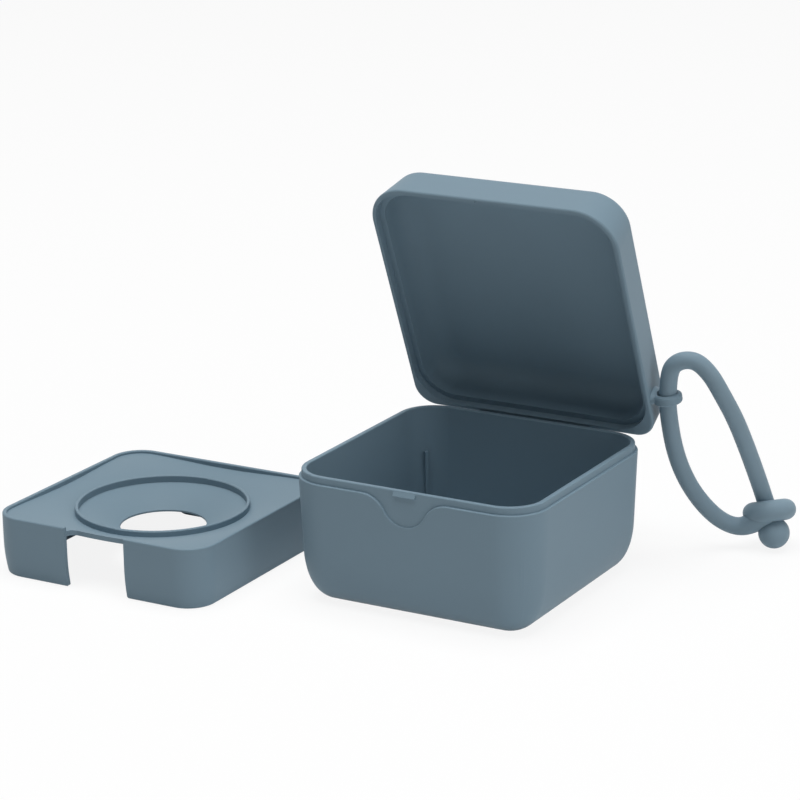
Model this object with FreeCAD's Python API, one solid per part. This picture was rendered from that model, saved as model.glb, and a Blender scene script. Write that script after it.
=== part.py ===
"""Square hinged travel case for a baby's pacifier, with a lift-out insert and a carry strap.

Millimetres and degrees. The origin is the centre of the base's underside, +X is to the right of
someone who faces the catch, +Y points to the hinge and +Z is up. The lid is modelled closed, then turned
open about the hinge. The insert stands beside the case and the strap's ball stands on the table.
"""

import FreeCAD
import Part

import math
import os

V = FreeCAD.Vector
X_AXIS = V(1, 0, 0)
Y_AXIS = V(0, 1, 0)
Z_AXIS = V(0, 0, 1)

# Case outline, shared by the base and the lid at the seam
CASE_WIDTH = 85.0
CASE_CORNER_R = 13.0
SEAM_Z = 40.2
DRAFT = 2.4

# Base: its walls curve in to the floor from FOOT_HIGH, over a width of FOOT_IN
FOOT_HIGH = 16.3
FOOT_IN = 12.2
FOOT_PULL_DOWN = 7.6
FOOT_PULL_OUT = 8.4
CORE_IN = 12.5
FLOOR_T = 2.4
CAVITY_FOOT_R = 8.3
LIP_INSET = 0.9
LIP_T = 1.6
LIP_H = 2.35
LIP_EDGE_R = 0.4
SHOULDER_EDGE_R = 0.38

# Ribs in the base's corners, which carry the insert
RIB_T = 1.0
RIB_PROUD = 1.5
RIB_TOP_Z = 27.5

# Thumb scoop in the front wall: a round hollow with a flare on each side
SCOOP_DROP = 9.0
SCOOP_R = 7.8
SCOOP_FLARE_R = 9.0

# Catch on the front of the lip: a ramp that faces up
CATCH_WIDTH = 7.6
CATCH_PROUD = 0.7
CATCH_LOW = 0.3
CATCH_TIP_H = 0.35
CATCH_ROOM = 0.25

# Lid: its rim stands out over the base, its walls lean in to the top, and its rear has tighter corners
LID_H = 15.6
LID_RIM_OUT = 0.9
LID_DRAFT = 9.5
LID_TOP_T = 2.0
LID_TOP_R = 3.3
LID_RIM_R = 0.7
LID_INNER_DRAFT = 4.0
LID_INNER_R = 7.5
LID_REAR_LOW_OUT = 0.85
LID_REAR_LOW_R = 7.3
LID_REAR_TOP_OUT = 1.6
LID_REAR_TOP_R = 5.9
SEAM_GAP = 0.1
LIP_CLEAR = 0.2
LIP_HEADROOM = 0.2
LID_OPEN = 67.4

# Hinge at the seam: a barrel with stub pins on the lid, between two ears on the base
HINGE_BACK = 1.95
KNUCKLE_R = 1.7
KNUCKLE_CLEAR = 0.2
BARREL_LENGTH = 32.0
EAR_WIDTH = 4.0
PIN_R = 0.9
PIN_CLEAR = 0.05
PIN_LENGTH = 3.2
GUSSET_H = 6.5
GUSSET_FLAT = 1.0
ROOT_DEPTH = 0.9
EDGE_SINK = 0.3

# Strap eyelet on the lid's right wall: a ring on a root that widens to the wall
EYELET_Y = 30.1
EYELET_RISE = 5.17
EYELET_OUT = 4.9
EYELET_AXIS = V(-0.1, -0.952, 0.288)
EYELET_HOLE_R = 3.25
EYELET_WALL = 1.35
EYELET_H = 3.3
EYELET_EDGE_R = 1.05
ROOT_SINK = 0.4
ROOT_WALL_HALF = 4.6
ROOT_WALL_RISE = 2.9
ROOT_NECK_OUT = 1.7
ROOT_NECK_HALF = 3.8
ROOT_NECK_RISE = 1.8
ROOT_TIP_HALF = 3.4
ROOT_TIP_RISE = 1.5

# Lift-out insert
INSERT_X = -99.85
INSERT_Y = -24.7
INSERT_CLEAR = 0.35
INSERT_H = 20.0
INSERT_WALL = 1.4
INSERT_RIM_R = 0.45
INSERT_TUCK_H = 11.0
INSERT_TUCK_R = 54.0
INSERT_FOOT_R = 0.6
PLATE_T = 2.2
PLATE_DROP = 0.9
HOLE_EDGE_T = 0.5
DISH_R = 78.0
DISH_SPAN = 49.0
HOLE_R = 14.0
RING_R = 28.3
RING_T = 1.1
RING_H = 2.1
NOTCH_X = 0.6
NOTCH_HALF = 11.3
NOTCH_DEPTH = 4.8
NOTCH_CORNER_R = 2.5
NOTCH_FOOT_R = 1.0
WINDOW_X = 25.0
WINDOW_HALF = 3.0
WINDOW_H = 7.5
WINDOW_FOOT_R = 6.0

# Strap: a cord with a ball on one end and a collar on the other
CORD_D = 5.6
BALL_D = 10.2
COLLAR_R = 5.85
COLLAR_HALF_T = 2.85
COLLAR_HALF_H = 3.2
BALL_CENTRE = V(72.1, 73.1, 5.1)
COLLAR_CENTRE = V(70.2, 73.7, 12.1)
COLLAR_AXIS = V(-0.14, 0.09, 0.98)
CORD_ROUTE = [
    V(69.3, 69.0, 11.5),
    V(65.9, 69.2, 8.0),
    V(60.4, 67.9, 6.8),
    V(54.4, 64.0, 11.3),
    V(49.0, 58.2, 21.4),
    V(46.6, 51.6, 34.3),
    V(47.0, 44.7, 50.4),
    V(47.7, 43.0, 59.0),
    V(48.5, 42.8, 65.3),
    V(50.8, 43.2, 67.9),
    V(54.1, 44.3, 68.8),
    V(57.2, 45.7, 67.7),
    V(60.5, 47.7, 63.4),
    V(62.6, 50.2, 57.8),
    V(65.1, 56.3, 47.7),
    V(66.3, 63.5, 35.9),
    V(67.2, 70.0, 24.8),
    V(68.7, 73.7, 15.6),
    V(71.3, 73.5, 8.6),
]
ARC_SHARE = 0.45

HALF = CASE_WIDTH / 2
SLOPE = math.tan(math.radians(DRAFT))
LID_SLOPE = math.tan(math.radians(LID_DRAFT))
LID_INNER_SLOPE = math.tan(math.radians(LID_INNER_DRAFT))
LIP_HALF = HALF - LIP_INSET
LIP_CORNER_R = CASE_CORNER_R - LIP_INSET
LIP_TOP_Z = SEAM_Z + LIP_H
CAVITY_HALF = LIP_HALF - LIP_T
CAVITY_CORNER_R = LIP_CORNER_R - LIP_T
LID_LOW_Z = SEAM_Z + SEAM_GAP
LID_TOP_Z = SEAM_Z + LID_H
HINGE = V(0, HALF + HINGE_BACK, SEAM_Z)
BEYOND = 10.0


def line(start, end):
    return Part.LineSegment(start, end).toShape()


def outline(half, radius, z):
    """Closed wire of a square with round corners, centred on the Z axis at height z."""
    flat = half - radius
    bulge = flat + radius * math.sqrt(0.5)
    edges = []
    for turn in range(4):
        side = line(V(half, -flat, z), V(half, flat, z))
        corner = Part.Arc(V(half, flat, z), V(bulge, bulge, z), V(flat, half, z)).toShape()
        for edge in (side, corner):
            edge.rotate(V(0, 0, 0), Z_AXIS, 90 * turn)
            edges.append(edge)
    return Part.Wire(edges)


def prism(half, radius, low, high):
    """Upright block with round corners."""
    return Part.Face(outline(half, radius, low)).extrude(V(0, 0, high - low))


def tapered(half_low, radius_low, low, half_high, radius_high, high):
    """Block with round corners whose walls lean evenly from one height to the other."""
    wires = [outline(half_low, radius_low, low), outline(half_high, radius_high, high)]
    return Part.makeLoft(wires, True, True)


def swept(edges, half, radius):
    """Solid swept by a closed profile, given at the middle of the right side, round an outline."""
    return outline(half, radius, 0).makePipeShell([Part.Wire(edges)], True, False)


def level_edges(shape, z):
    """Edges of a shape that lie flat at height z."""
    return [e for e in shape.Edges
            if abs(e.BoundBox.ZMin - z) < 1e-4 and abs(e.BoundBox.ZMax - z) < 1e-4]


def box_between(low, high):
    size = high - low
    return Part.makeBox(size.x, size.y, size.z, low)


def extrude_yz(points, x_low, x_high):
    """Prism along X over a polygon given as (y, z) points."""
    corners = [V(x_low, y, z) for y, z in points]
    face = Part.Face(Part.makePolygon(corners + corners[:1]))
    return face.extrude(V(x_high - x_low, 0, 0))


def rod_x(radius, x_low, x_high):
    """Round bar on the hinge axis."""
    return Part.makeCylinder(radius, x_high - x_low, V(x_low, HINGE.y, HINGE.z), X_AXIS)


def scoop_cutter():
    """Cutter for the thumb scoop: bottom arc and two flares that meet it in tangent points."""
    low_z = SEAM_Z - SCOOP_DROP
    centre = V(0, 0, low_z + SCOOP_R)
    flare_z = SEAM_Z - SCOOP_FLARE_R
    reach = SCOOP_R + SCOOP_FLARE_R
    flare_x = math.sqrt(reach ** 2 - (centre.z - flare_z) ** 2)
    flare = V(flare_x, 0, flare_z)
    join = centre + (flare - centre) * (SCOOP_R / reach)
    up = V(flare_x, 0, SEAM_Z)
    toward = ((join - flare).normalize() + Z_AXIS).normalize()
    middle = flare + toward * SCOOP_FLARE_R

    def left(p):
        return V(-p.x, p.y, p.z)

    high = V(0, 0, LIP_H + BEYOND)
    edges = [
        Part.Arc(left(up), left(middle), left(join)).toShape(),
        Part.Arc(left(join), V(0, 0, low_z), join).toShape(),
        Part.Arc(join, middle, up).toShape(),
        line(up, up + high),
        line(up + high, left(up) + high),
        line(left(up) + high, left(up)),
    ]
    face = Part.Face(Part.Wire(edges))
    face.translate(V(0, -LIP_HALF, 0))
    return face.extrude(V(0, -BEYOND, 0))


def ear_spans():
    """X spans of the two hinge ears."""
    inner = BARREL_LENGTH / 2 + KNUCKLE_CLEAR
    return [(inner, inner + EAR_WIDTH), (-inner - EAR_WIDTH, -inner)]


def base_ear(x_low, x_high):
    """One hinge ear: a knuckle on a gusset that runs down the base's rear wall."""
    root = HALF - ROOT_DEPTH
    back = HINGE.y + KNUCKLE_R
    low = SEAM_Z - GUSSET_H
    gusset = extrude_yz([
        (root, low), (root, SEAM_Z), (back, SEAM_Z), (back, SEAM_Z - GUSSET_FLAT), (HALF - EDGE_SINK, low),
    ], x_low, x_high)
    return gusset.fuse(rod_x(KNUCKLE_R, x_low, x_high))


def corner_rib(turn):
    """Thin upright rib that stands out of one rounded corner of the cavity."""
    low_half = CAVITY_HALF - SLOPE * (LIP_TOP_Z - FLOOR_T)
    corner = (CAVITY_HALF - CAVITY_CORNER_R) * math.sqrt(2) + CAVITY_CORNER_R
    reach = corner - RIB_PROUD - SLOPE * (LIP_TOP_Z - RIB_TOP_Z)
    rib = box_between(V(reach, -RIB_T / 2, FLOOR_T / 2), V(low_half * math.sqrt(2), RIB_T / 2, RIB_TOP_Z))
    rib.rotate(V(0, 0, 0), Z_AXIS, 45 + 90 * turn)
    return rib


def shoulder_edges(body):
    """Edges that run round the outside at the seam and down round the scoop."""
    edges = []
    for edge in body.Edges:
        box = edge.BoundBox
        reach = max(-box.XMin, box.XMax, -box.YMin, box.YMax)
        at_seam = box.ZMin > SEAM_Z - 1e-4 and reach > HALF - 1e-3
        in_scoop = box.YMax < -(HALF + LIP_HALF) / 2 and SEAM_Z - 1e-3 > box.ZMin > SEAM_Z - SCOOP_DROP - 1e-3
        if at_seam or in_scoop:
            edges.append(edge)
    return edges


def base_outer():
    """Outer body of the base: walls swept round the outline, scoop, core inside them, lip on top."""

    def at(inward, z):
        return V(HALF - inward, 0, z)

    lean = SLOPE * (SEAM_Z - FOOT_HIGH)
    foot_top = at(lean, FOOT_HIGH)
    foot = Part.BezierCurve()
    foot.setPoles([
        foot_top,
        at(lean + SLOPE * FOOT_PULL_DOWN, FOOT_HIGH - FOOT_PULL_DOWN),
        at(FOOT_IN - FOOT_PULL_OUT, 0),
        at(FOOT_IN, 0),
    ])
    edges = [
        line(at(0, SEAM_Z), foot_top),
        foot.toShape(),
        line(at(FOOT_IN, 0), at(CORE_IN, 0)),
        line(at(CORE_IN, 0), at(CORE_IN, SEAM_Z)),
        line(at(CORE_IN, SEAM_Z), at(0, SEAM_Z)),
    ]
    walls = swept(edges, HALF, CASE_CORNER_R).cut(scoop_cutter())
    walls = walls.makeFillet(SHOULDER_EDGE_R, shoulder_edges(walls))
    core_in = (CORE_IN + FOOT_IN) / 2
    core = prism(HALF - core_in, CASE_CORNER_R - core_in, 0, SEAM_Z)
    lip = prism(LIP_HALF, LIP_CORNER_R, SEAM_Z - LIP_H, LIP_TOP_Z)
    return walls.multiFuse([core, lip]).removeSplitter()


def base_cavity():
    """Hollow of the base, open at the top, with a rounded foot."""
    lean = SLOPE * (LIP_TOP_Z - FLOOR_T)
    hollow = tapered(CAVITY_HALF - lean, CAVITY_CORNER_R - lean, FLOOR_T,
                     CAVITY_HALF, CAVITY_CORNER_R, LIP_TOP_Z)
    return hollow.makeFillet(CAVITY_FOOT_R, level_edges(hollow, FLOOR_T))


def base_shell():
    """Lower half of the case."""
    outer = base_outer()
    cavity = base_cavity()
    shell = outer.cut(cavity)
    shell = shell.makeFillet(LIP_EDGE_R, level_edges(shell, LIP_TOP_Z))
    ribs = Part.Compound([corner_rib(turn) for turn in range(4)])
    shell = shell.fuse(ribs.common(outer))

    low = SEAM_Z + CATCH_LOW
    high = LIP_TOP_Z - LIP_EDGE_R
    root = -LIP_HALF + LIP_T / 2
    face = -LIP_HALF
    catch = extrude_yz([
        (root, low), (face, low), (face - CATCH_PROUD, low + CATCH_TIP_H), (face, high), (root, high),
    ], -CATCH_WIDTH / 2, CATCH_WIDTH / 2)
    shell = shell.fuse(catch)

    for x_low, x_high in ear_spans():
        shell = shell.fuse(base_ear(x_low, x_high))
        shell = shell.cut(rod_x(PIN_R + PIN_CLEAR, x_low, x_high))
    return shell.removeSplitter()


def lid_outline(half, front_r, rear_y, rear_r, z):
    """Closed wire of the lid's outside at height z, with its own rear line and rear corners."""
    front = -half
    slack = 1 - math.sqrt(0.5)
    edges = []
    for side in (1, -1):
        x = side * half
        rear_start, rear_end = V(x, rear_y - rear_r, z), V(x - side * rear_r, rear_y, z)
        rear_mid = V(x - side * slack * rear_r, rear_y - slack * rear_r, z)
        front_start, front_end = V(x - side * front_r, front, z), V(x, front + front_r, z)
        front_mid = V(x - side * slack * front_r, front + slack * front_r, z)
        edges += [
            Part.Arc(front_start, front_mid, front_end).toShape(),
            line(front_end, rear_start),
            Part.Arc(rear_start, rear_mid, rear_end).toShape(),
        ]
    flat_rear, flat_front = half - rear_r, half - front_r
    edges.insert(3, line(V(flat_rear, rear_y, z), V(-flat_rear, rear_y, z)))
    edges.append(line(V(-flat_front, front, z), V(flat_front, front, z)))
    return Part.Wire(Part.__sortEdges__(edges))


def lid_body():
    """Closed lid as a hollow block: outer body less hollow and lip rebate."""
    lean = LID_SLOPE * (LID_TOP_Z - LID_LOW_Z)
    rim_half = HALF + LID_RIM_OUT
    rim_r = CASE_CORNER_R + LID_RIM_OUT
    wires = [
        lid_outline(rim_half, rim_r, HALF + LID_REAR_LOW_OUT, LID_REAR_LOW_R, LID_LOW_Z),
        lid_outline(rim_half - lean, rim_r - lean, HALF + LID_REAR_TOP_OUT, LID_REAR_TOP_R, LID_TOP_Z),
    ]
    body = Part.makeLoft(wires, True, True)
    body = body.makeFillet(LID_TOP_R, level_edges(body, LID_TOP_Z))
    body = body.makeFillet(LID_RIM_R, level_edges(body, LID_LOW_Z))

    ceiling = LID_TOP_Z - LID_TOP_T
    lean = LID_INNER_SLOPE * (ceiling - LID_LOW_Z)
    hollow = tapered(CAVITY_HALF, CAVITY_CORNER_R, LID_LOW_Z,
                     CAVITY_HALF - lean, CAVITY_CORNER_R - lean, ceiling)
    hollow = hollow.makeFillet(LID_INNER_R, level_edges(hollow, ceiling))
    rebate = prism(LIP_HALF + LIP_CLEAR, LIP_CORNER_R + LIP_CLEAR, LID_LOW_Z, LIP_TOP_Z + LIP_HEADROOM)
    return body.cut(hollow).cut(rebate)


def catch_room():
    """Pocket in the lid's front rim that takes the catch."""
    front = -LIP_HALF - CATCH_PROUD - CATCH_ROOM
    half = CATCH_WIDTH / 2 + CATCH_ROOM
    return box_between(V(-half, front, SEAM_Z), V(half, -LIP_HALF, LIP_TOP_Z))


def lid_barrel():
    """Hinge barrel with its stub pins, on a gusset that runs up the lid's rear wall."""
    half = BARREL_LENGTH / 2
    root = HALF - EDGE_SINK
    back = HINGE.y + KNUCKLE_R
    high = HINGE.z + GUSSET_H
    gusset = extrude_yz([
        (root, LID_LOW_Z), (root, high), (HALF + EDGE_SINK, high),
        (back, HINGE.z + GUSSET_FLAT), (back, LID_LOW_Z),
    ], -half, half)
    pin_half = half + KNUCKLE_CLEAR + PIN_LENGTH
    return gusset.multiFuse([rod_x(KNUCKLE_R, -half, half), rod_x(PIN_R, -pin_half, pin_half)])


def eyelet():
    """Ring for the strap on a trumpet-shaped root, which is lofted from three ovals to the wall."""
    axis = V(EYELET_AXIS).normalize()
    across = axis.cross(X_AXIS).normalize()
    upright = X_AXIS.cross(across)
    centre = V(HALF + EYELET_OUT, EYELET_Y, SEAM_Z + EYELET_RISE)
    low = centre - axis * (EYELET_H / 2)
    ring = Part.makeCylinder(EYELET_HOLE_R + EYELET_WALL, EYELET_H, low, axis)
    rims = [e for e in ring.Edges if e.Curve.TypeId == "Part::GeomCircle"]
    ring = ring.makeFillet(EYELET_EDGE_R, rims)

    def oval(x, half, rise):
        middle = V(x, centre.y, centre.z)
        return Part.Wire(Part.Ellipse(middle + across * half, middle + upright * rise, middle).toShape())

    root = Part.makeLoft([
        oval(HALF - ROOT_SINK, ROOT_WALL_HALF, ROOT_WALL_RISE),
        oval(HALF + ROOT_NECK_OUT, ROOT_NECK_HALF, ROOT_NECK_RISE),
        oval(centre.x, ROOT_TIP_HALF, ROOT_TIP_RISE),
    ], True)
    hole = Part.makeCylinder(EYELET_HOLE_R, 3 * EYELET_H, centre - axis * (1.5 * EYELET_H), axis)
    return ring.fuse(root).cut(hole)


def lid_shell():
    """Upper half of the case, turned open about the hinge."""
    shell = lid_body().cut(catch_room())
    for x_low, x_high in ear_spans():
        room = rod_x(KNUCKLE_R + KNUCKLE_CLEAR, x_low - KNUCKLE_CLEAR, x_high + KNUCKLE_CLEAR)
        shell = shell.cut(room)
    shell = shell.multiFuse([lid_barrel(), eyelet()]).removeSplitter()
    shell.rotate(HINGE, X_AXIS, -LID_OPEN)
    return shell


def insert_wall():
    """Skirt of the insert: an upright wall that tucks in at the foot, with a rounded rim."""
    half = CAVITY_HALF - INSERT_CLEAR
    radius = CAVITY_CORNER_R - INSERT_CLEAR
    foot_r = INSERT_FOOT_R
    rim_r = INSERT_RIM_R
    slack = 1 - math.sqrt(0.5)
    middle = INSERT_TUCK_H / 2

    def at(inward, z):
        return V(half - inward, 0, z)

    def tucked(depth, z):
        """Point a given depth inside the skirt's outer face, on its curved lower part."""
        run = INSERT_TUCK_H - z
        return at(depth + INSERT_TUCK_R - math.sqrt(INSERT_TUCK_R ** 2 - run ** 2), z)

    def rim_arc(start, corner, end, inward):
        """Quarter round at the rim, given its ends, the sharp corner and the side it bends to."""
        bend = corner + V(-inward, 0, -1) * (slack * rim_r)
        return Part.Arc(start, bend, end).toShape()

    foot_in, foot_out = tucked(INSERT_WALL, 0), tucked(foot_r, 0)
    out_low, out_top = at(0, INSERT_H - rim_r), at(rim_r, INSERT_H)
    in_top, in_low = at(INSERT_WALL - rim_r, INSERT_H), at(INSERT_WALL, INSERT_H - rim_r)
    edges = [
        Part.Arc(foot_out, tucked(slack * foot_r, slack * foot_r), tucked(0, foot_r)).toShape(),
        Part.Arc(tucked(0, foot_r), tucked(0, middle), at(0, INSERT_TUCK_H)).toShape(),
        line(at(0, INSERT_TUCK_H), out_low),
        rim_arc(out_low, at(0, INSERT_H), out_top, 1),
        line(out_top, in_top),
        rim_arc(in_top, at(INSERT_WALL, INSERT_H), in_low, -1),
        line(in_low, at(INSERT_WALL, INSERT_TUCK_H)),
        Part.Arc(at(INSERT_WALL, INSERT_TUCK_H), tucked(INSERT_WALL, middle), foot_in).toShape(),
        line(foot_in, foot_out),
    ]
    return swept(edges, half, radius)


def dish_profile(radius, drop):
    """Height of the dished plate at a radius, a given depth under its top face."""
    crown = INSERT_H - PLATE_DROP
    run = DISH_SPAN - radius
    return crown - DISH_R + math.sqrt((DISH_R - drop) ** 2 - run ** 2)


def insert_plate():
    """Dished plate of the insert, thinner toward the hole: turned about Z, cut to the wall's inside."""
    rim = 2 * CASE_WIDTH
    mid = (HOLE_R + DISH_SPAN) / 2

    def at(radius, drop):
        return V(radius, 0, dish_profile(radius, drop))

    crown = INSERT_H - PLATE_DROP
    under_mid = at(mid, (PLATE_T + HOLE_EDGE_T) / 2)
    edges = [
        Part.Arc(at(HOLE_R, 0), at(mid, 0), at(DISH_SPAN, 0)).toShape(),
        line(at(DISH_SPAN, 0), V(rim, 0, crown)),
        line(V(rim, 0, crown), V(rim, 0, crown - PLATE_T)),
        line(V(rim, 0, crown - PLATE_T), at(DISH_SPAN, PLATE_T)),
        Part.Arc(at(DISH_SPAN, PLATE_T), under_mid, at(HOLE_R, HOLE_EDGE_T)).toShape(),
        line(at(HOLE_R, HOLE_EDGE_T), at(HOLE_R, 0)),
    ]
    plate = Part.Face(Part.Wire(edges)).revolve(V(0, 0, 0), Z_AXIS, 360)
    sink = INSERT_CLEAR + INSERT_WALL / 2
    return plate.common(prism(CAVITY_HALF - sink, CAVITY_CORNER_R - sink, 0, INSERT_H))


def insert_ring():
    """Low ring on the plate that the pacifier's shield sits in."""
    inner = RING_R - RING_T
    low = dish_profile(inner, PLATE_T / 2)
    high = dish_profile(RING_R - RING_T / 2, 0) + RING_H
    ring = Part.makeCylinder(RING_R, high - low, V(0, 0, low))
    ring = ring.cut(Part.makeCylinder(inner, high - low, V(0, 0, low)))
    return ring.makeFillet(RING_T / 3, level_edges(ring, high))


def footed_gap(x, half, foot_r, height, y_low, y_high):
    """Cutter for a gap that opens downward and widens in two quarter rounds at the foot."""
    slack = foot_r * (1 - math.sqrt(0.5))
    edges = []
    for side in (1, -1):
        low = V(x + side * (half + foot_r), y_low, 0)
        turn = V(x + side * (half + slack), y_low, slack)
        up = V(x + side * half, y_low, foot_r)
        edges += [
            Part.Arc(low, turn, up).toShape(),
            line(up, V(up.x, y_low, height)),
        ]
    edges.append(line(V(x + half, y_low, height), V(x - half, y_low, height)))
    edges.append(line(V(x - half - foot_r, y_low, 0), V(x + half + foot_r, y_low, 0)))
    face = Part.Face(Part.Wire(Part.__sortEdges__(edges)))
    return face.extrude(V(0, y_high - y_low, 0))


def front_notch():
    """Cutter for the gap in the insert's front wall and plate, with round inner corners."""
    front = -(CAVITY_HALF - INSERT_CLEAR)
    inner = front + NOTCH_DEPTH
    cutter = footed_gap(NOTCH_X, NOTCH_HALF, NOTCH_FOOT_R, INSERT_H + BEYOND, front - BEYOND, inner)
    uprights = [e for e in cutter.Edges if e.BoundBox.YMin > inner - 1e-4 and e.BoundBox.ZLength > INSERT_H / 2]
    return cutter.makeFillet(NOTCH_CORNER_R, uprights)


def rear_window(side):
    """Cutter for a low opening at the foot of the insert's rear wall."""
    rear = CAVITY_HALF - INSERT_CLEAR
    return footed_gap(side * WINDOW_X, WINDOW_HALF, WINDOW_FOOT_R, WINDOW_H, rear - BEYOND / 2, rear + BEYOND)


def pacifier_insert():
    """Insert: skirt, dished plate and ring, with a front notch, standing on the table."""
    tray = insert_wall().multiFuse([insert_plate(), insert_ring()])
    tray = tray.cut(front_notch())
    for side in (1, -1):
        tray = tray.cut(rear_window(side))
    tray = tray.removeSplitter()
    tray.translate(V(INSERT_X, INSERT_Y, 0))
    return tray


def cord_path(points):
    """Straight runs joined by tangent arcs, each as large as its two runs allow."""
    edges = []
    radii = []
    start = points[0]
    for before, corner, after in zip(points, points[1:], points[2:]):
        into = (corner - before).normalize()
        out = (after - corner).normalize()
        half_turn = into.getAngle(out) / 2
        setback = ARC_SHARE * min((corner - before).Length, (after - corner).Length)
        radius = setback / math.tan(half_turn)
        first = corner - into * setback
        last = corner + out * setback
        inward = (out - into).normalize()
        middle = corner + inward * (radius / math.cos(half_turn) - radius)
        edges.append(line(start, first))
        edges.append(Part.Arc(first, middle, last).toShape())
        radii.append(radius)
        start = last
    edges.append(line(start, points[-1]))
    return Part.Wire(edges), radii


def strap_cord():
    """Cord of the strap, from the collar through the eyelet and down to the ball."""
    path, radii = cord_path(CORD_ROUTE)
    direction = CORD_ROUTE[1] - CORD_ROUTE[0]
    section = Part.Wire(Part.makeCircle(CORD_D / 2, CORD_ROUTE[0], direction))
    cord = path.makePipeShell([section], True, False)
    print("cord radii", [round(r, 1) for r in radii])
    print("cord length", round(path.Length, 1), "volume share",
          round(cord.Volume / (path.Length * math.pi * CORD_D ** 2 / 4), 4))
    return cord


def strap_collar():
    """Collar: a thick ring of oval section that the ball is pushed through."""
    oval = Part.Wire(Part.Ellipse(V(0, 0, 0), COLLAR_HALF_H, COLLAR_HALF_T).toShape())
    oval.rotate(V(0, 0, 0), Y_AXIS, 90)
    oval.rotate(V(0, 0, 0), Z_AXIS, 90)
    oval.translate(V(COLLAR_R, 0, 0))
    ring = Part.Face(oval).revolve(V(0, 0, 0), Z_AXIS, 360)
    ring.Placement = FreeCAD.Placement(COLLAR_CENTRE, FreeCAD.Rotation(Z_AXIS, COLLAR_AXIS))
    return ring


def strap_ball():
    """Ball on the end of the cord."""
    return Part.makeSphere(BALL_D / 2, BALL_CENTRE)


PARTS = {
    "base_shell": base_shell,
    "lid_shell": lid_shell,
    "pacifier_insert": pacifier_insert,
    "strap_cord": strap_cord,
    "strap_collar": strap_collar,
    "strap_ball": strap_ball,
}

os.makedirs("parts", exist_ok=True)
for name, make in PARTS.items():
    shape = make()
    solid = shape.Solids[0] if len(shape.Solids) == 1 else shape
    print(name, len(shape.Solids), "solid", solid.isValid(), round(solid.Volume / 1000, 2), "cm3")
    solid.exportStep(f"parts/{name}.step")
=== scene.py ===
# %% [markdown]
# # A pacifier case of blue-grey plastic
# The object is a small square travel case: a base, a lid on a rear hinge, a loose insert that holds the
# pacifier, and a carry strap of silicone. The three hard shells are mouldings whose exact shape comes with
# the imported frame, so they stay as they are and only get their finish here. The strap is soft, so it is
# modelled in this lesson. Everything is in metres, with the case's underside on the floor.

# %% Packages and frame
import math

import bpy
import numpy as np
from mathutils import Matrix, Vector


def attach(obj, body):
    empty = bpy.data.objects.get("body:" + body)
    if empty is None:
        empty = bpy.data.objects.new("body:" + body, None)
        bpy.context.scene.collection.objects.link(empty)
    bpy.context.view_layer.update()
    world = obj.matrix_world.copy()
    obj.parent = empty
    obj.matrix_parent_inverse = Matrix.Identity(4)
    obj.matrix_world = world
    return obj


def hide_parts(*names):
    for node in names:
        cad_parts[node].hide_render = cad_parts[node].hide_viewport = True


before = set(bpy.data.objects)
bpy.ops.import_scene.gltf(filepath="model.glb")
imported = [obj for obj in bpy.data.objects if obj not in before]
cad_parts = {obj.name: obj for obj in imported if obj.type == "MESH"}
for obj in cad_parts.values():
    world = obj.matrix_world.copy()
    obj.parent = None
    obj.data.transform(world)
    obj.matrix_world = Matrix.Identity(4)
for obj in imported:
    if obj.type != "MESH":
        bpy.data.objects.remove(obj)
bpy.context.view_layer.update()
MM = 0.001
print("nodes", sorted(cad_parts))

# %% [markdown]
# ## The camera
# A product photograph is taken with a long lens from a few case widths away, so that the sides stay nearly
# parallel. The camera is placed by angles round the case. A point on the case's middle line is then put on
# its pixel by moving the camera sideways, so that the lens needs no shift.

# %% Camera
PICTURE_PX = 800
FOCAL_PX = 3038.4
SENSOR_MM = 36.0
AZIMUTH, ELEVATION, ROLL = np.radians((29.91, 17.02, -0.81))
DISTANCE = 953.74 * MM
TARGET = Vector((0, 0, 25 * MM))
TARGET_PX = (470.41, 506.81)


def camera_axes():
    """Right, up and back of the camera: turned to its azimuth and elevation, then rolled about back."""
    back = Vector((math.sin(AZIMUTH) * math.cos(ELEVATION),
                   -math.cos(AZIMUTH) * math.cos(ELEVATION),
                   math.sin(ELEVATION)))
    level = Vector((math.cos(AZIMUTH), math.sin(AZIMUTH), 0))
    upright = back.cross(level)
    right = math.cos(ROLL) * level + math.sin(ROLL) * upright
    return right, back.cross(right), back


def make_camera():
    right, up, back = camera_axes()
    per_px = DISTANCE / FOCAL_PX
    aside = (TARGET_PX[0] - PICTURE_PX / 2) * per_px
    below = (TARGET_PX[1] - PICTURE_PX / 2) * per_px
    place = TARGET + back * DISTANCE - right * aside + up * below
    data = bpy.data.cameras.new("photo_camera")
    data.sensor_width = SENSOR_MM
    data.lens = FOCAL_PX / PICTURE_PX * SENSOR_MM
    camera = bpy.data.objects.new("photo_camera", data)
    turn = Matrix((right, up, back)).transposed().to_4x4()
    camera.matrix_world = Matrix.Translation(place) @ turn
    bpy.context.scene.collection.objects.link(camera)
    bpy.context.scene.camera = camera
    return camera


camera = make_camera()
print("lens", round(camera.data.lens, 1), "mm")

# %% [markdown]
# ## Colours and nodes
# Colours are written as sRGB hex values, as a paint program shows them, and one function turns them into the
# linear values that the renderer needs. One more function adds a node with its settings and links, so that
# each material below reads as a list of its layers.

# %% Helpers for materials
def srgb(code, alpha=1.0):
    """Linear RGBA of an sRGB hex value such as '7A919F'."""
    share = np.array([int(code[i:i + 2], 16) for i in (0, 2, 4)]) / 255
    linear = np.where(share <= 0.04045, share / 12.92, ((share + 0.055) / 1.055) ** 2.4)
    return (*linear.tolist(), alpha)


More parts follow.
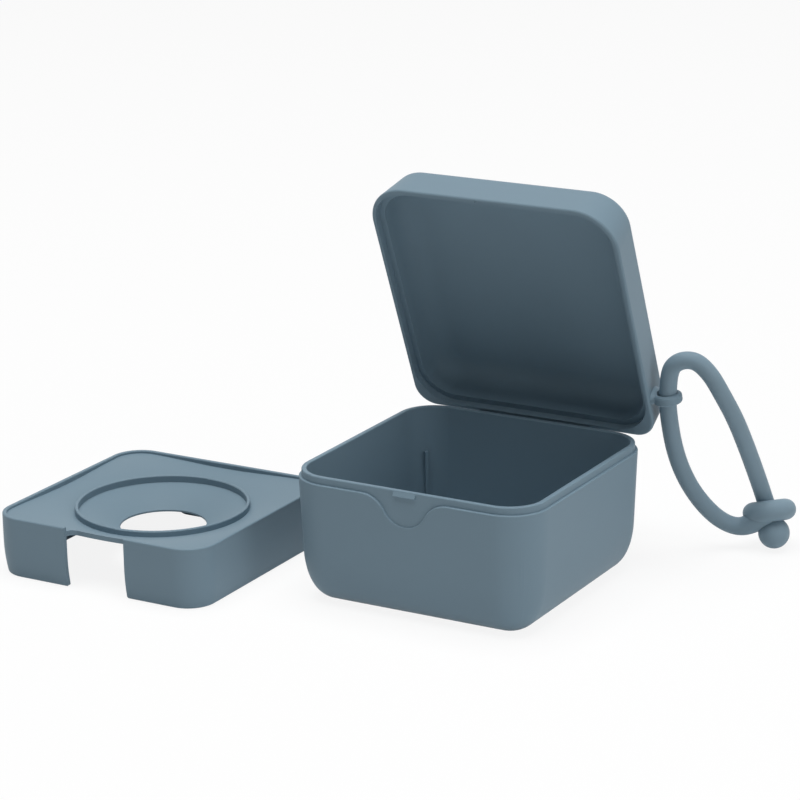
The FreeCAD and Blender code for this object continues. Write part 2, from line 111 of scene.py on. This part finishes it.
def add(tree, kind, inputs=None, **settings):
    """Adds a node. Settings are its properties, and inputs its sockets, each a value or a link."""
    made = tree.nodes.new(kind)
    for name, value in settings.items():
        setattr(made, name, value)
    for socket, value in (inputs or {}).items():
        if isinstance(value, bpy.types.NodeSocket):
            tree.links.new(value, made.inputs[socket])
        else:
            made.inputs[socket].default_value = value
    return made


def new_tree(owner):
    owner.use_nodes = True
    owner.node_tree.nodes.clear()
    return owner.node_tree


print("mid grey 808080 is", round(srgb("808080")[0], 3), "in linear light")

# %% [markdown]
# ## Moulded polypropylene
# The three shells are polypropylene, coloured in the mass and moulded in a spark-eroded steel tool. The even
# colour could be one value, but a real moulding drifts a little in tone where the melt flowed and cooled, and
# the eroded tool leaves a fine grain that breaks up every reflection. So a slow cloud drives tone and
# roughness, and a fine noise gives the grain. The real grain is about 0.05 mm. It is drawn at 0.4 mm here,
# which is as fine as the picture can show.

# %% Case plastic
CASE_TONES = ("7A909E", "7C93A1")
PP_IOR = 1.49
PP_SPECULAR = 0.15
PP_ROUGH = (0.46, 0.54)
GRAIN_MM = 0.4
GRAIN_BUMP = 0.1
GRAIN_DEPTH = 0.02 * MM
CLOUD_MM = 14.0


def case_plastic():
    """Blue-grey all through, satin, with no mirror in it: broad soft highlights on edges and tops."""
    material = bpy.data.materials.new("moulded_polypropylene")
    tree = new_tree(material)
    place = add(tree, "ShaderNodeTexCoord").outputs["Object"]
    grain = add(tree, "ShaderNodeTexNoise",
                {"Vector": place, "Scale": 1 / (GRAIN_MM * MM), "Detail": 2.0, "Roughness": 0.6})
    cloud = add(tree, "ShaderNodeTexNoise",
                {"Vector": place, "Scale": 1 / (CLOUD_MM * MM), "Detail": 3.0})
    tone = add(tree, "ShaderNodeMix",
               {0: cloud.outputs["Fac"], 6: srgb(CASE_TONES[0]), 7: srgb(CASE_TONES[1])}, data_type="RGBA")
    rough = add(tree, "ShaderNodeMapRange",
                {"Value": cloud.outputs["Fac"], "To Min": PP_ROUGH[0], "To Max": PP_ROUGH[1]})
    bump = add(tree, "ShaderNodeBump",
               {"Height": grain.outputs["Fac"], "Strength": GRAIN_BUMP, "Distance": GRAIN_DEPTH})
    shader = add(tree, "ShaderNodeBsdfPrincipled",
                 {"Base Color": tone.outputs[2], "Roughness": rough.outputs[0], "IOR": PP_IOR,
                  "Specular IOR Level": PP_SPECULAR, "Normal": bump.outputs[0]})
    add(tree, "ShaderNodeOutputMaterial", {"Surface": shader.outputs[0]})
    return material


plastic = case_plastic()
for name in ("base_shell", "lid_shell", "pacifier_insert"):
    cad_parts[name].material_slots[0].material = plastic
print("shells in", plastic.name)

# %% [markdown]
# ## Moulded silicone
# The strap is liquid silicone rubber, pressed in a polished tool in the same blue-grey. Silicone is a little
# translucent and slightly tacky, so it looks softer and a touch lighter at its edges than the plastic. A thin
# scattering layer gives that, a slow cloud varies the tone, and fine dust that clings to it dulls the gloss.

# %% Strap silicone
STRAP_TONES = ("7D93A1", "8298A5")
SILICONE_IOR = 1.41
SILICONE_SPECULAR = 0.3
SILICONE_ROUGH = (0.48, 0.62)
SCATTER_SHARE = 0.25
SCATTER_RADIUS = (0.9, 1.0, 1.1)
SCATTER_DEPTH = 0.8 * MM
DRIFT_MM = 6.0
DUST_MM = 0.6
DUST_BUMP = 0.08
DUST_DEPTH = 0.02 * MM


def strap_silicone():
    """Soft satin rubber: wide dim highlights, edges that glow a little, no sharp reflection."""
    material = bpy.data.materials.new("moulded_silicone_rubber")
    tree = new_tree(material)
    place = add(tree, "ShaderNodeTexCoord").outputs["Object"]
    drift = add(tree, "ShaderNodeTexNoise",
                {"Vector": place, "Scale": 1 / (DRIFT_MM * MM), "Detail": 3.0})
    dust = add(tree, "ShaderNodeTexNoise",
               {"Vector": place, "Scale": 1 / (DUST_MM * MM), "Detail": 2.0})
    tone = add(tree, "ShaderNodeMix",
               {0: drift.outputs["Fac"], 6: srgb(STRAP_TONES[0]), 7: srgb(STRAP_TONES[1])}, data_type="RGBA")
    rough = add(tree, "ShaderNodeMapRange",
                {"Value": dust.outputs["Fac"], "To Min": SILICONE_ROUGH[0], "To Max": SILICONE_ROUGH[1]})
    bump = add(tree, "ShaderNodeBump",
               {"Height": dust.outputs["Fac"], "Strength": DUST_BUMP, "Distance": DUST_DEPTH})
    shader = add(tree, "ShaderNodeBsdfPrincipled",
                 {"Base Color": tone.outputs[2], "Roughness": rough.outputs[0], "IOR": SILICONE_IOR,
                  "Specular IOR Level": SILICONE_SPECULAR, "Normal": bump.outputs[0],
                  "Subsurface Weight": SCATTER_SHARE, "Subsurface Radius": SCATTER_RADIUS,
                  "Subsurface Scale": SCATTER_DEPTH})
    add(tree, "ShaderNodeOutputMaterial", {"Surface": shader.outputs[0]})
    return material


silicone = strap_silicone()
print("strap in", silicone.name)

# %% [markdown]
# ## The cord
# The cord is a round string of silicone that runs from the collar through the eyelet, over in a loop, and
# back down through the collar to the ball. A bent string could be a swept mesh, but a curve with a round bevel
# is easier to follow: the control points pull a smooth spline along the route, as the rubber bends. It
# thickens at its root, where it grows out of the collar.

# %% Cord
CORD_D = 5.6 * MM
ROOT_FLARE = (1.6, 1.2)
CORD_ROUTE = MM * np.array([
    (70.0, 70.6, 12.6),
    (66.3, 69.1, 8.3),
    (60.4, 67.9, 6.8),
    (54.4, 64.0, 11.3),
    (49.0, 58.2, 21.4),
    (46.6, 51.6, 34.3),
    (47.0, 44.7, 50.4),
    (47.7, 43.0, 59.0),
    (48.5, 42.8, 65.3),
    (50.8, 43.2, 67.9),
    (54.1, 44.3, 68.8),
    (57.2, 45.7, 67.7),
    (60.5, 47.7, 63.4),
    (62.6, 50.2, 57.8),
    (65.1, 56.3, 47.7),
    (66.3, 63.5, 35.9),
    (67.2, 70.0, 24.8),
    (68.7, 73.7, 15.6),
    (71.3, 73.5, 8.6),
])


def make_cord():
    curve = bpy.data.curves.new("strap_loop", "CURVE")
    curve.dimensions = "3D"
    curve.bevel_depth = CORD_D / 2
    curve.bevel_resolution = 8
    curve.resolution_u = 12
    curve.use_fill_caps = True
    spline = curve.splines.new("NURBS")
    spline.points.add(len(CORD_ROUTE) - 1)
    weighted = np.pad(CORD_ROUTE, ((0, 0), (0, 1)), constant_values=1)
    spline.points.foreach_set("co", weighted.ravel())
    thickness = np.ones(len(CORD_ROUTE))
    thickness[:len(ROOT_FLARE)] = ROOT_FLARE
    spline.points.foreach_set("radius", thickness)
    spline.order_u = 3
    spline.use_endpoint_u = True
    curve.materials.append(silicone)
    cord = bpy.data.objects.new("strap_loop", curve)
    bpy.context.scene.collection.objects.link(cord)
    return cord


cord = make_cord()
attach(cord, "strap")
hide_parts("strap_cord")
print("cord", len(CORD_ROUTE), "points,", round(CORD_D / MM, 1), "mm thick")

# %% [markdown]
# ## Turned shapes
# The collar and the ball are round about an axis, so one idea serves both: a profile, given as a radius and a
# height, is carried round the axis in even steps. That is a grid with two parameters, place on the profile
# and turn. A profile that closes on itself makes a ring, and one that starts and ends on the axis makes a
# closed body with two poles.

# %% Turned surfaces
def turned_points(radius, height, centre, axis, steps):
    """Point (p, t) = centre + height_p * axis + radius_p * (cos t * side + sin t * other side)."""
    axis = np.array(axis) / np.linalg.norm(axis)
    side = np.cross(axis, (0.0, 1.0, 0.0))
    side /= np.linalg.norm(side)
    other = np.cross(axis, side)
    turn = np.linspace(0, 2 * np.pi, steps, endpoint=False)
    spoke = np.cos(turn)[:, None] * side + np.sin(turn)[:, None] * other
    return np.array(centre) + height[:, None, None] * axis + radius[:, None, None] * spoke


def grid_quads(rows, steps, ring):
    """Corner numbers of the faces between each row and the next, wrapped round, in a ring or not."""
    row, step = np.meshgrid(np.arange(rows if ring else rows - 1), np.arange(steps), indexing="ij")
    above, beside = (row + 1) % rows, (step + 1) % steps
    corners = (row * steps + step, row * steps + beside, above * steps + beside, above * steps + step)
    return np.stack(corners, axis=-1).reshape(-1, 4)


def turned_piece(name, points, poles=None):
    """Mesh object of a turned grid. Two poles, first and last point of the axis, close a body's ends."""
    rows, steps, _ = points.shape
    vertices = points.reshape(-1, 3)
    faces = grid_quads(rows, steps, ring=poles is None).tolist()
    if poles is not None:
        step = np.arange(steps)
        beside = (step + 1) % steps
        first, last = np.full(steps, len(vertices)), np.full(steps, len(vertices) + 1)
        end = (rows - 1) * steps
        faces += np.stack((first, beside, step), axis=1).tolist()
        faces += np.stack((last, end + step, end + beside), axis=1).tolist()
        vertices = np.vstack((vertices, poles))
    mesh = bpy.data.meshes.new(name)
    mesh.from_pydata(vertices.tolist(), [], faces)
    mesh.shade_smooth()
    mesh.materials.append(silicone)
    piece = bpy.data.objects.new(name, mesh)
    bpy.context.scene.collection.objects.link(piece)
    return piece


print("a ring of 4 rows and 6 steps has", len(grid_quads(4, 6, ring=True)), "faces")

# %% [markdown]
# ## The collar
# The collar is a thick bead whose hole grips the cord, so that no gap shows round it. Its section is a little
# fuller than an ellipse, so a superellipse fits it: the ellipse's sine and cosine are raised to a power just
# below one, which pushes the curve out towards its corners.

# %% Collar
COLLAR_CENTRE = MM * np.array((70.2, 73.7, 12.1))
COLLAR_AXIS = (-0.26, 0.24, 0.935)
COLLAR_MEAN_R = 4.8 * MM
COLLAR_HALF_T = 3.85 * MM
COLLAR_HALF_H = 3.5 * MM
FULLNESS = 0.95
SECTION_STEPS = 64
COLLAR_STEPS = 96


def superellipse(count):
    """x = |cos a|^k with cosine's sign, z = |sin a|^k with sine's sign, for even angles a."""
    angle = np.linspace(0, 2 * np.pi, count, endpoint=False)
    across, along = np.cos(angle), np.sin(angle)
    return (np.sign(across) * np.abs(across) ** FULLNESS,
            np.sign(along) * np.abs(along) ** FULLNESS)


across, along = superellipse(SECTION_STEPS)
collar_points = turned_points(COLLAR_MEAN_R + COLLAR_HALF_T * across, COLLAR_HALF_H * along,
                              COLLAR_CENTRE, COLLAR_AXIS, COLLAR_STEPS)
collar = turned_piece("strap_bead", collar_points)
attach(collar, "strap")
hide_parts("strap_collar")
print("collar", round(2 * (COLLAR_MEAN_R + COLLAR_HALF_T) / MM, 1), "mm across")

# %% [markdown]
# ## The ball
# The ball is the stop on the cord's other end. It has a neck that runs up into the collar, and a fillet
# between the two, because a sharp corner would tear in use. The profile is three pieces that meet in tangent
# points: an arc of the ball, a hollow arc for the fillet, and the straight neck.

# %% Ball
BALL_CENTRE = MM * np.array((72.9, 71.5, 5.8))
BALL_R = 5.1 * MM
NECK_R = CORD_D / 2
NECK_FILLET_R = 2.2 * MM
NECK_END = 7.6 * MM
ARC_STEPS = 48
FILLET_STEPS = 14
BALL_STEPS = 72


def ball_profile():
    """Radius and height: ball arc up to the line of centres, fillet arc on to the neck, then the neck."""
    reach = BALL_R + NECK_FILLET_R
    fillet_x = NECK_R + NECK_FILLET_R
    fillet_z = math.sqrt(reach ** 2 - fillet_x ** 2)
    join = math.atan2(fillet_z, fillet_x)
    arc = np.linspace(-math.pi / 2, join, ARC_STEPS)[1:]
    hollow = np.linspace(math.pi + join, math.pi, FILLET_STEPS)[1:]
    radius = np.concatenate(
        (BALL_R * np.cos(arc), fillet_x + NECK_FILLET_R * np.cos(hollow), [NECK_R]))
    height = np.concatenate(
        (BALL_R * np.sin(arc), fillet_z + NECK_FILLET_R * np.sin(hollow), [NECK_END]))
    return radius, height


ball_axis = COLLAR_CENTRE - BALL_CENTRE
ball_axis /= np.linalg.norm(ball_axis)
ball_points = turned_points(*ball_profile(), BALL_CENTRE, ball_axis, BALL_STEPS)
ball_poles = (BALL_CENTRE - BALL_R * ball_axis, BALL_CENTRE + NECK_END * ball_axis)
ball = turned_piece("strap_stop_ball", ball_points, ball_poles)
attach(ball, "strap")
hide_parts("strap_ball")
print("ball", round(2 * BALL_R / MM, 1), "mm across")

# %% [markdown]
# ## Light and floor
# The photograph has a big soft light overhead, a weaker one on the right, and a white table that throws light
# back up. That is why the tops are bright, the right wall is a step darker, the front is darker still, and
# the lid's hollow, which faces the table, fades toward the hinge, where the base stands in its light. So the
# sky is kept dim and two panels light the scene. To the camera the table is nearly pure white, with part of
# the shadow kept.

# %% World, floor and lamps
SKY_LEVEL = 0.08
FLOOR_R = 4.0
FLOOR_STEPS = 96
FLOOR_GAP = 0.1 * MM
FLOOR_BOUNCE = "F0F0F0"
SHADOW_SHARE = 0.12


def seen_directly(tree):
    """1 for rays from the camera, or through gloss and glass, and 0 for diffuse light."""
    rays = add(tree, "ShaderNodeLightPath")
    gloss = add(tree, "ShaderNodeMath",
                {0: rays.outputs["Is Camera Ray"], 1: rays.outputs["Is Glossy Ray"]}, operation="MAXIMUM")
    return add(tree, "ShaderNodeMath", {0: gloss.outputs[0], 1: rays.outputs["Is Transmission Ray"]},
               operation="MAXIMUM").outputs[0]


def make_world():
    world = bpy.data.worlds.new("dim_studio")
    tree = new_tree(world)
    sky = add(tree, "ShaderNodeBackground", {"Color": srgb("FFFFFF"), "Strength": SKY_LEVEL})
    white = add(tree, "ShaderNodeBackground", {"Color": srgb("FFFFFF"), "Strength": 1.0})
    mixed = add(tree, "ShaderNodeMixShader",
                {0: seen_directly(tree), 1: sky.outputs[0], 2: white.outputs[0]})
    add(tree, "ShaderNodeOutputWorld", {"Surface": mixed.outputs[0]})
    bpy.context.scene.world = world


def floor_material():
    """White to the eye where light falls, with part of the shadow kept, and white paper to bounced light."""
    material = bpy.data.materials.new("studio_floor")
    tree = new_tree(material)
    lit = add(tree, "ShaderNodeBsdfDiffuse", {"Color": srgb("FFFFFF")})
    glow = add(tree, "ShaderNodeEmission", {"Color": srgb("FFFFFF"), "Strength": 1.0})
    ground = add(tree, "ShaderNodeMixShader",
                 {0: 1 - SHADOW_SHARE, 1: lit.outputs[0], 2: glow.outputs[0]})
    bounce = add(tree, "ShaderNodeBsdfDiffuse", {"Color": srgb(FLOOR_BOUNCE)})
    mixed = add(tree, "ShaderNodeMixShader",
                {0: seen_directly(tree), 1: bounce.outputs[0], 2: ground.outputs[0]})
    add(tree, "ShaderNodeOutputMaterial", {"Surface": mixed.outputs[0]})
    return material


def make_floor():
    mesh = bpy.data.meshes.new("studio_floor")
    angle = np.linspace(0, 2 * np.pi, FLOOR_STEPS, endpoint=False)
    level = np.full(FLOOR_STEPS, -FLOOR_GAP)
    rim = np.stack([FLOOR_R * np.cos(angle), FLOOR_R * np.sin(angle), level], axis=1)
    mesh.from_pydata(rim.tolist(), [], [list(range(FLOOR_STEPS))])
    mesh.materials.append(floor_material())
    floor = bpy.data.objects.new("studio_floor", mesh)
    bpy.context.scene.collection.objects.link(floor)


def make_panel(name, place, side, watts):
    """Square softbox that faces the case."""
    data = bpy.data.lights.new(name, "AREA")
    data.size = side
    data.energy = watts
    panel = bpy.data.objects.new(name, data)
    panel.location = place
    panel.rotation_euler = (Vector(place) - TARGET).to_track_quat("Z", "Y").to_euler()
    bpy.context.scene.collection.objects.link(panel)
    print(name, watts, "W from", place)


make_world()
make_floor()
make_panel("top_panel", place=(0.0, -0.12, 2.0), side=1.6, watts=38.5)
make_panel("right_panel", place=(1.2, -0.15, 0.4), side=0.7, watts=3.3)
bpy.context.scene.view_settings.view_transform = "Standard"
